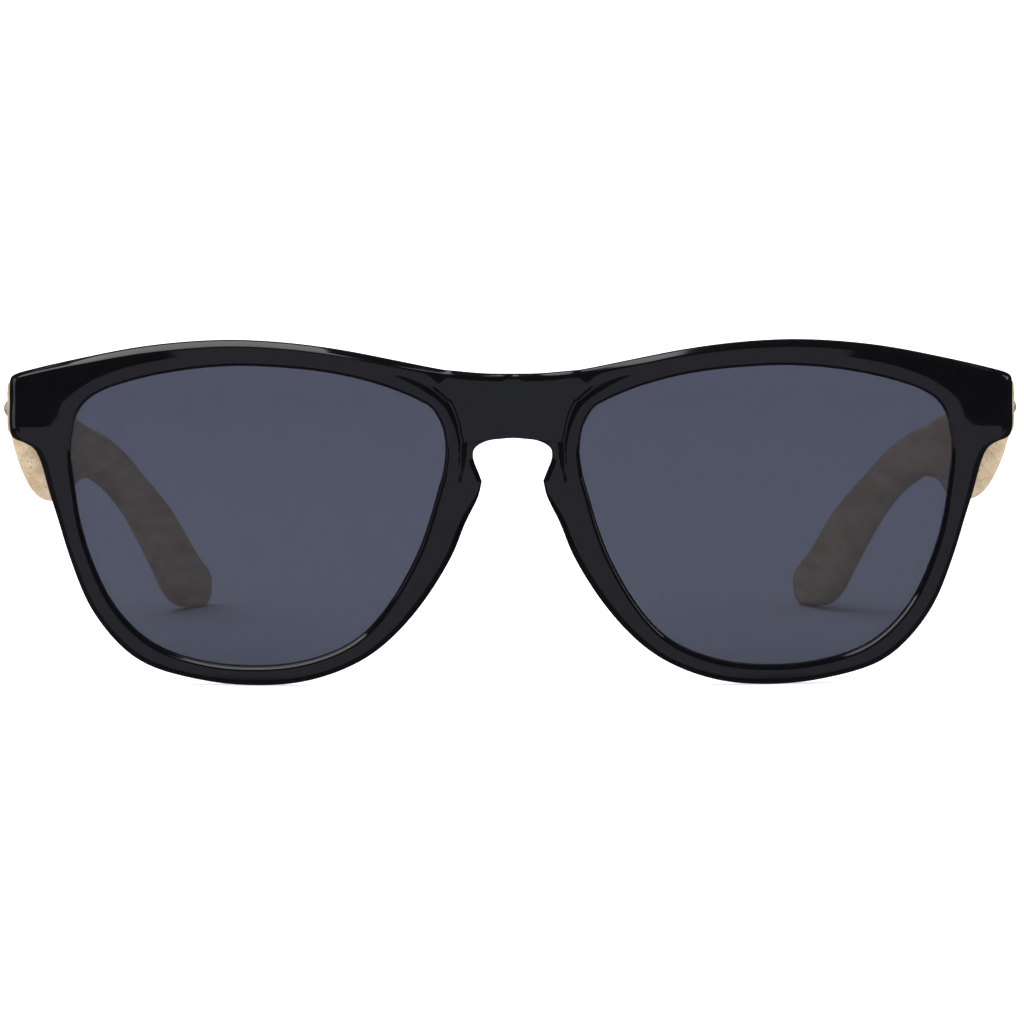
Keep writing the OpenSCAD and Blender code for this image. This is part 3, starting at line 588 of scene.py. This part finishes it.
        # The endpieces' flat back lies a joint's setback in front of the hinge axis
        self.sections = [self.section(i, 0) for i in range(len(self.hole))]
        near = min(p[1] for section in self.sections for p in section)
        self.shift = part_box("front_frame")[0].y / MM - near
        end_back = JOINTS["left_fold"]["pos_m"][1] / MM - self.shift - temple_sizes().joint_back
        self.sections = [self.section(i, end_back) for i in range(len(self.hole))]

    def lens_x(self, u):
        return self.s.bridge_w / 2 + u * self.s.lens_w

    def lens_z(self, v):
        return self.s.rim_low + v * self.s.lens_h

    def on_front(self, x, off):
        """Depth of a surface that lies off behind the front's curve."""
        return self.s.front_r - math.sqrt((self.s.front_r - off) ** 2 - x * x)

    def lens_edge(self, i, reach):
        """The lens opening at one station, moved outwards."""
        d = self.hole[(i + 1) % len(self.hole)] - self.hole[i - 1]
        return self.hole[i] + reach * np.array((d[1], -d[0])) / np.linalg.norm(d)

    def section(self, i, end_back):
        """Section of the rim at one station, from the lens lip round to the groove."""
        s, h, o = self.s, self.hole[i], self.outer[i]
        w = np.linalg.norm(o[:2] - h)
        d = (o[:2] - h) / w
        bevel, flat, pad, panel = clamp(o[2]), clamp(o[3]), s.pad_out * clamp(o[4]), clamp(o[5])
        band = min(mix(s.band_w, 0.77 * s.band_w, panel), 0.45 * w)
        edge = min(s.edge_w, 0.25 * w) * mix(0.35, 1, bevel)
        room = w - edge - band
        lean = (s.panel_top_w - s.panel_low_w) / 2 / s.bridge_h
        to_panel = (s.panel_low_w / 2 + lean * (h[1] - self.bridge_low) - h[0]) / (d[0] - lean * d[1])
        step = max(0.15 * room, min(s.step_w, 0.9 * room, to_panel - band))
        # The face slopes only where it widens out to the endpiece, above its lower half
        wing = clamp((w / s.rim_top - 1.08) / 0.2) * clamp((d[1] - 0.08) / 0.15) if d[0] >= 0 else 0
        fall = s.wing_slope * wing * room
        face = mix(s.band_drop + fall, s.panel_drop, panel)
        g = self.lens_edge(i, s.lens_bite + 2 * s.lens_clear)

        def front(along, off):
            p = h + along * d
            return p[0], self.on_front(p[0], off), p[1]

        def rear(along, off):
            x, y, z = front(along, off)
            return x, mix(y, end_back, flat) if end_back else y, z

        low, deep = self.groove
        return [
            front(0, s.lip_drop), front(min(s.lip_w, 0.2 * w), s.band_drop), front(band, s.band_drop),
            front(band + mix(room / 3, max(0.15, 1 - s.wall_w / step) * step, panel),
                  s.band_drop + mix(fall / 3, s.sunk, panel)),
            front(band + mix(2 * room / 3, step, panel), mix(s.band_drop + 2 * fall / 3, s.panel_drop, panel)),
            front(w - edge, face), front(w, face + s.edge_bevel * bevel),
            rear(w, s.rim_depth - s.back_round * bevel + 0.6 * pad), rear(w - edge, s.rim_depth + pad),
            rear(min(0.94 * s.band_w, 0.5 * w), s.rim_depth + 0.3 * pad), front(0, s.rim_depth - s.back_round / 2),
            front(0, deep), (g[0], self.on_front(g[0], deep), g[1]), (g[0], self.on_front(g[0], low), g[1]),
            front(0, low),
        ]

    def placed(self, x, y, z):
        return x, y + self.shift, z


def front_sizes():
    return sizes(bpy.context.scene.sunglasses_front)


def temple_sizes():
    return sizes(bpy.context.scene.sunglasses_temples)


class SUNGLASSES_OT_front(bpy.types.Operator):
    """Moulds the front: rims, bridge, nose pads and endpieces in one piece"""
    bl_idname = "sunglasses.front"
    bl_label = "Front"

    # Sharpness of each ring of the rim's section, from the lens lip round to the groove
    CREASES = (0.4, 0.5, 0.5, 0.0, 0.0, 0.6, 0.55, 0.3, 0.1, 0.1, 0.3, 0.6, 0.9, 0.9, 0.6)

    def execute(self, context):
        shape = FrontShape(front_sizes())
        rings = [[shape.placed(*section[j]) for section in shape.sections] for j in range(len(self.CREASES))]
        creases = list(self.CREASES)
        # The step's foot and top are sharp only along the side of the bridge's panel
        creases[3] = creases[4] = [0.75 * clamp(o[5]) for o in shape.outer]
        piece = loft("front_frame_moulded", rings, creases, closed=True, ribs={shape.point: 0.9})
        outward()
        pick(piece, "FACE", lambda face: all(abs(v.co.x) < 0.002 * MM for v in face.verts))
        bpy.ops.mesh.delete(type="ONLY_FACE")
        finish_with(piece, "MIRROR", use_clip=True, merge_threshold=0.002 * MM)
        bpy.ops.object.mode_set(mode="EDIT")
        outward()
        finish_with(piece, "SUBSURF", levels=2, render_levels=2)
        smooth(piece)
        colours = context.scene.sunglasses_finish
        fit(piece, "front", "front_frame", polished_black_polycarbonate(colours))
        return {"FINISHED"}


class SUNGLASSES_OT_lenses(bpy.types.Operator):
    """Cuts the two lenses to their grooves"""
    bl_idname = "sunglasses.lenses"
    bl_label = "Lenses"

    # Rings of the lens, from its middle to its edge
    SPREAD = (0.1, 0.3, 0.5, 0.7, 0.85, 0.95, 1.0)

    def execute(self, context):
        s = front_sizes()
        shape = FrontShape(s)
        edge = [shape.lens_edge(i, s.lens_bite) for i in range(len(shape.hole))]
        middle = sum(edge) / len(edge)
        finish = smoke_polycarbonate(context.scene.sunglasses_finish)
        for side, sign in SIDES.items():
            rings = []
            for off, spread in [(s.lens_set + s.lens_t, f) for f in self.SPREAD] + \
                               [(s.lens_set, f) for f in reversed(self.SPREAD)]:
                flat = [mix(middle, p, spread) for p in edge]
                rings.append([shape.placed(sign * x, shape.on_front(x, off), z) for x, z in flat])
            piece = loft(side + "_lens_smoke", rings, [0.0] * len(rings))
            close_ends(piece)
            bpy.ops.mesh.poke()
            outward()
            smooth(piece, 40)
            fit(piece, "front", side + "_lens", finish)
        return {"FINISHED"}


class SUNGLASSES_OT_temples(bpy.types.Operator):
    """Cuts the two wooden temples from their spine and rounds their edges"""
    bl_idname = "sunglasses.temples"
    bl_label = "Temples"

    STEPS = 4
    ARC = (0, 22.5, 45, 67.5, 90)
    CAP = (22, 42, 58, 70, 80)

    def execute(self, context):
        rings = self.rings(temple_sizes())
        creases = [0.85] + [0.0] * (len(rings) - 1)
        for side, sign in SIDES.items():
            turn = on_temple(side)
            piece = loft(side + "_temple_beech",
                         [[turn @ (Vector(p) * MM) / MM for p in ring] for ring in rings], creases)
            close_ends(piece)
            outward()
            finish_with(piece, "SUBSURF", levels=1, render_levels=1)
            smooth(piece, 50)
            lean = math.atan2(sign * turn[1][0], sign * turn[0][0])
            fit(piece, side + "_arm", side + "_temple",
                lacquered_beech(context.scene.sunglasses_finish, side, lean))
        return {"FINISHED"}

    def rings(self, s):
        """Rounded sections of the wood along its spine, in the temple's own axes."""
        hinge, belly, neck, tip = hinge_height(), s.belly_h / 2, s.neck_h / 2, s.tip_w / 2
        end = 0.7 * tip
        # Share of the length, height of the spine as a share of the hinge's, and half the wood's height there
        rows = (
            (0.030, 0.990, s.temple_h / 2), (0.073, 0.931, 0.825 * belly), (0.132, 0.863, 0.995 * belly),
            (0.190, 0.808, belly), (0.249, 0.787, 0.93 * belly), (0.308, 0.803, mix(neck, belly, 0.5)),
            (0.381, 0.786, mix(neck, belly, 0.15)), (0.454, 0.765, mix(neck, belly, 0.01)), (0.527, 0.718, neck),
            (0.600, 0.651, neck), (0.674, 0.557, mix(neck, tip, 0.11)), (0.747, 0.447, mix(neck, tip, 0.71)),
            (0.820, 0.318, 1.08 * tip), (0.894, 0.167, 1.11 * tip),
        )
        spine = [(-s.joint_back, hinge + 0.06 * s.temple_h, s.temple_h / 2)]
        spine += [(at * s.temple_len, z * hinge, h) for at, z, h in rows] + [(s.temple_len - end, end, end)]
        spine = [np.array(row) for row in spine]
        spine = [2 * spine[0] - spine[1]] + spine + [2 * spine[-1] - spine[-2]]
        run = [curve(*spine[i - 1:i + 3], k / self.STEPS) for i in range(1, len(spine) - 2) for k in range(self.STEPS)]
        run.append(spine[-2])
        ways = [np.array((1.0, 0.0))]
        for i in range(1, len(run)):
            d = (run[min(i + 1, len(run) - 1)] - run[i - 1])[:2]
            ways.append(d / np.linalg.norm(d))
        half = s.temple_t / 2
        # The outer face is eased back in front of the first rivet's head
        ease_end = s.rivet_at - s.rivet_head_r
        rings = []
        for row, way in zip(run, ways):
            ease = s.joint_ease * clamp((ease_end - row[0]) / (ease_end + s.joint_back)) ** 2
            rings.append(self.wood_section(s, row[:2], way, row[2], half - ease / 2, -ease / 2))
        # The joint end is mitred to lie along the endpiece's back
        flex = JOINTS["left_flex"]["axis"]
        rings[0] = [(x, (s.butt_gap - s.joint_back + x * flex[0]) / flex[1], z) for x, y, z in rings[0]]
        for angle in self.CAP:
            c, e = math.cos(math.radians(angle)), math.sin(math.radians(angle))
            rings.append(self.wood_section(s, run[-1][:2] + end * e * ways[-1], ways[-1], end * c, half * c ** 0.4))
        return rings

    def wood_section(self, s, middle, way, h, t, across=0):
        """Rounded rectangle round the spine, h and t are half its height and thickness."""
        r = min(s.edge_r, h, t)
        ring = []
        for corner in range(4):
            for part in self.ARC:
                angle = math.radians(90 * corner + part)
                a = (1 if corner in (0, 3) else -1) * (t - r) + r * math.cos(angle)
                e = (1 if corner < 2 else -1) * (h - r) + r * math.sin(angle)
                b = middle[0] - e * way[1]
                bow = max(0, b - s.bow_from) ** 2 / (2 * s.bow_r)
                ring.append((s.wood_in + s.temple_t / 2 + across + a - bow, b, middle[1] + e * way[0]))
        return ring


class SUNGLASSES_OT_rivets(bpy.types.Operator):
    """Turns one domed rivet and sets four copies of it through the wood"""
    bl_idname = "sunglasses.rivets"
    bl_label = "Rivets"

    SEGMENTS = 32
    # Width of the broken edges in millimetres, and rings of the dome from its rim to its top
    BREAK = 0.06
    DOME = (0.97, 0.9, 0.8, 0.7, 0.6, 0.5, 0.4, 0.3, 0.2, 0.1, 0.03)

    def execute(self, context):
        s = temple_sizes()
        dome = (s.rivet_head_r ** 2 + s.rivet_head_h ** 2) / (2 * s.rivet_head_h)
        rim = math.asin(s.rivet_head_r / dome)
        # Radius and height from the shank's end over the head's underside to the top of the dome
        profile = [(s.rivet_r - self.BREAK, -s.rivet_l), (s.rivet_r, self.BREAK - s.rivet_l), (s.rivet_r, 0),
                   (s.rivet_head_r - self.BREAK, 0)]
        for share in self.DOME:
            profile.append((dome * math.sin(share * rim), s.rivet_head_h - dome + dome * math.cos(share * rim)))
        turns = [2 * math.pi * k / self.SEGMENTS for k in range(self.SEGMENTS)]
        rings = [[(r * math.cos(turn), r * math.sin(turn), z) for turn in turns] for r, z in profile]
        rivet = loft("rivet", rings, [0.0] * len(rings))
        close_ends(rivet)
        outward()
        smooth(rivet, 40)
        for side in SIDES:
            for name, at in (("front", s.rivet_at), ("rear", s.rivet_at + s.rivet_step)):
                piece = copy_of(rivet, f"{side}_rivet_{name}_domed")
                # The dome's own axis points out of the wood
                spot = Matrix.Translation(Vector((s.wood_in + s.temple_t, at, hinge_height())) * MM)
                piece.data.transform(on_temple(side) @ spot @ Matrix.Rotation(math.pi / 2, 4, "Y"))
                if side == "right":
                    piece.data.flip_normals()
                fit(piece, side + "_arm", f"{side}_rivet_{name}",
                    nickel_plate(context.scene.sunglasses_finish))
        bpy.data.objects.remove(rivet)
        return {"FINISHED"}


class SUNGLASSES_OT_springs(bpy.types.Operator):
    """Winds one spring and sets a copy on each plunger"""
    bl_idname = "sunglasses.springs"
    bl_label = "Springs"

    def execute(self, context):
        s = temple_sizes()
        deselect()
        bpy.ops.mesh.primitive_circle_add(vertices=10, radius=s.wire_d / 2 * MM, enter_editmode=True)
        spring = context.object
        bpy.ops.transform.translate(value=(s.coil_r * MM, 0, 0))
        run = (s.spring_to - s.spring_from) * MM
        finish_with(spring, "SCREW", axis="Y", angle=2 * math.pi, iterations=s.spring_turns, steps=20,
                    render_steps=20, screw_offset=run / s.spring_turns)
        bpy.ops.object.mode_set(mode="EDIT")
        close_ends(spring)
        outward()
        smooth(spring, 50)
        for side in SIDES:
            piece = copy_of(spring, side + "_spring_wound")
            spot = Matrix.Translation(Vector((0, s.spring_from, hinge_height())) * MM)
            piece.data.transform(on_temple(side) @ spot)
            if side == "right":
                piece.data.flip_normals()
            fit(piece, side + "_hinge_rod", side + "_spring",
                spring_steel(context.scene.sunglasses_finish))
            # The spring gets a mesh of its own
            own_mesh(piece)
        bpy.data.objects.remove(spring)
        return {"FINISHED"}


class SUNGLASSES_OT_hinges(bpy.types.Operator):
    """Breaks the edges of the hinge fittings and plates the bushes and collars"""
    bl_idname = "sunglasses.hinges"
    bl_label = "Hinges"

    # Fitting, the body that carries it, its slot and the width of its broken edges in millimetres
    FITTINGS = (
        ("front_hinge", "front", "nickel", 0.1), ("hinge_screw", "front", "steel", 0.06),
        ("plunger", "hinge_rod", "steel", 0.08), ("spring_housing", "arm", "nickel", 0.14),
    )

    def execute(self, context):
        colours = context.scene.sunglasses_finish
        finishes = {"nickel": nickel_plate(colours), "steel": spring_steel(colours)}
        for side in SIDES:
            for name, body, slot, width in self.FITTINGS:
                node = f"{side}_{name}"
                piece = copy_of(frame["nodes"][node], node + "_broken_edges")
                make_active(piece)
                bpy.ops.object.mode_set(mode="EDIT")
                outward()
                bpy.ops.mesh.dissolve_limited(angle_limit=math.radians(1))
                finish_with(piece, "BEVEL", width=width * MM, segments=2, limit_method="ANGLE",
                            angle_limit=math.radians(40))
                smooth(piece, 35)
                fit(piece, body if body == "front" else f"{side}_{body}", node, finishes[slot])
            for name in ("collar", "guide_bush"):
                slots = frame["nodes"][f"{side}_{name}"].material_slots
                slots[0].material = finishes["nickel"]
        return {"FINISHED"}


# ---------------------------------------------------------------- stage

# Brightness of the paper by itself to the camera, and in reflections
PAPER_OWN = 0.7
PAPER_MIRRORED = 0.4
# Where along the paper its reflection turns to a painted shadow under the glasses, in metres, and the share of
# brightness left in that painted shadow
PAPER_SHADOW_EDGE = (-0.088, -0.078)
PAPER_SHADOW_SHARE = 0.1
# Width, length and middle of the flat part, its run to the camera, how much it widens and rises there,
# and the radius, the number of bends and the upright height of the sweep, in metres
PAPER = SimpleNamespace(width=0.72, length=1.6, middle=0.4, run=4.6, widens=11, rise=0.28,
                        radius=0.6, bends=8, upright=0.8)
# Brightness of the surroundings as a fill and in reflections
ROOM_FILL = 1.2
ROOM_MIRRORED = 0.02
# Name, middle, size across and along, aim, and brightness of each soft light, in metres
LIGHTS = (
    ("key_softbox", (-0.45, -0.1, 0.75), (0.9, 0.7), (-0.45, -0.1, 0), 2.0),
    ("right_strip", (0.86, 0.1, 0.45), (0.3, 0.5), (0, -0.06, 0.03), 1.2),
    ("left_strip", (-0.9, 0.1, 0.2), (0.3, 0.5), (0, -0.06, 0.03), 0.5),
    ("sweep_light", (0, 0.8, 1.3), (1.6, 0.3), (0, 1.8, 0.5), 2.0),
)


class SUNGLASSES_OT_stage(bpy.types.Operator):
    """Sets the paper sweep, the soft lights, the surroundings and the camera"""
    bl_idname = "sunglasses.stage"
    bl_label = "Stage"

    def execute(self, context):
        self.paper(context)
        for name, spot, size, aim, level in LIGHTS:
            lamp = bpy.data.lights.new(name, "AREA")
            lamp.shape = "RECTANGLE"
            lamp.size, lamp.size_y = size
            lamp.energy = level * size[0] * size[1] * 4
            light = bpy.data.objects.new(name, lamp)
            light.location = spot
            light.rotation_euler = (Vector(aim) - Vector(spot)).to_track_quat("-Z", "Y").to_euler()
            context.scene.collection.objects.link(light)
        self.surroundings(context)
        # From the front and a little above, with a long lens
        camera = bpy.data.objects.new("camera", bpy.data.cameras.new("camera"))
        camera.data.lens, camera.data.sensor_width = 146.6, 36
        camera.location = (-0.00724, -0.669695, 0.05984)
        camera.rotation_euler = (math.radians(90 - 3.336), math.radians(0.075), math.radians(-0.691))
        context.scene.collection.objects.link(camera)
        context.scene.camera = camera
        context.scene.view_settings.view_transform = "Standard"
        return {"FINISHED"}

    def paper(self, context):
        """A strip of paper that lies under the glasses and sweeps up behind them."""
        deselect()
        bpy.ops.mesh.primitive_plane_add(size=1, enter_editmode=True)
        paper = context.object
        paper.name = paper.data.name = "paper_sweep"
        bpy.ops.transform.resize(value=(PAPER.width, PAPER.length, 1))
        bpy.ops.transform.translate(value=(0, PAPER.middle, 0))
        # It widens towards the camera, so that upright faces mirror it and steep ones the dark room
        pick(paper, "EDGE", lambda edge: all(v.co.y < 0 for v in edge.verts))
        bpy.ops.mesh.extrude_edges_move(TRANSFORM_OT_translate={"value": (0, -PAPER.run, 0)})
        bpy.ops.transform.resize(value=(PAPER.widens, 1, 1))
        bpy.ops.mesh.extrude_edges_move(TRANSFORM_OT_translate={"value": (0, 0, PAPER.rise)})
        pick(paper, "EDGE", lambda edge: all(v.co.y > 1 for v in edge.verts))
        part = PAPER.radius * math.pi / 2 / PAPER.bends
        for k in range(PAPER.bends):
            angle = math.radians(90 * (k + 0.5) / PAPER.bends)
            bpy.ops.mesh.extrude_edges_move(TRANSFORM_OT_translate={
                "value": (0, part * math.cos(angle), part * math.sin(angle))})
        bpy.ops.mesh.extrude_edges_move(TRANSFORM_OT_translate={"value": (0, 0, PAPER.upright)})
        smooth(paper)
        paper.data.materials.append(matt_white_paper(context.scene.sunglasses_finish))

    def surroundings(self, context):
        """White to the camera and through the lenses, dim in reflections, a soft fill for the rest."""
        world = bpy.data.worlds.new("studio")
        world.use_nodes = True
        tree = world.node_tree
        tree.nodes.clear()
        path = add(tree, "LightPath").outputs
        seen = add(tree, "Math", {0: path["Is Camera Ray"], 1: path["Is Transmission Ray"]}, operation="MAXIMUM")
        fill = add(tree, "Math", {0: path["Is Diffuse Ray"], 1: ROOM_FILL, 2: seen.outputs[0]},
                   operation="MULTIPLY_ADD")
        dim = add(tree, "Math", {0: path["Is Glossy Ray"], 1: ROOM_MIRRORED, 2: fill.outputs[0]},
                  operation="MULTIPLY_ADD")
        sky = add(tree, "Background", {"Color": (1, 1, 1, 1), "Strength": dim.outputs[0]})
        tree.links.new(sky.outputs[0], add(tree, "OutputWorld").inputs[0])
        context.scene.world = world


class SUNGLASSES_PT_panel(bpy.types.Panel):
    """Lists the pieces of the sunglasses in the order they are made"""
    bl_idname = "SUNGLASSES_PT_panel"
    bl_label = "Sunglasses"
    bl_space_type = "VIEW_3D"
    bl_region_type = "UI"
    bl_category = "Sunglasses"

    def draw(self, context):
        for operator in OPERATORS:
            self.layout.operator(operator.bl_idname)
        for group in (context.scene.sunglasses_front, context.scene.sunglasses_temples,
                      context.scene.sunglasses_finish):
            box = self.layout.box()
            for key in group.__annotations__:
                box.prop(group, key)


OPERATORS = (SUNGLASSES_OT_front, SUNGLASSES_OT_lenses, SUNGLASSES_OT_temples, SUNGLASSES_OT_rivets,
             SUNGLASSES_OT_springs, SUNGLASSES_OT_hinges, SUNGLASSES_OT_stage)
CLASSES = (SunglassesFront, SunglassesTemples, SunglassesFinish, *OPERATORS, SUNGLASSES_PT_panel)


def register():
    for cls in CLASSES:
        bpy.utils.register_class(cls)
    bpy.types.Scene.sunglasses_front = PointerProperty(type=SunglassesFront)
    bpy.types.Scene.sunglasses_temples = PointerProperty(type=SunglassesTemples)
    bpy.types.Scene.sunglasses_finish = PointerProperty(type=SunglassesFinish)


def unregister():
    del bpy.types.Scene.sunglasses_finish
    del bpy.types.Scene.sunglasses_temples
    del bpy.types.Scene.sunglasses_front
    for cls in reversed(CLASSES):
        bpy.utils.unregister_class(cls)


def main():
    register()
    bpy.ops.sunglasses.front()
    bpy.ops.sunglasses.lenses()
    bpy.ops.sunglasses.temples()
    bpy.ops.sunglasses.rivets()
    bpy.ops.sunglasses.springs()
    bpy.ops.sunglasses.hinges()
    bpy.ops.sunglasses.stage()


if __name__ == "__main__":
    main()
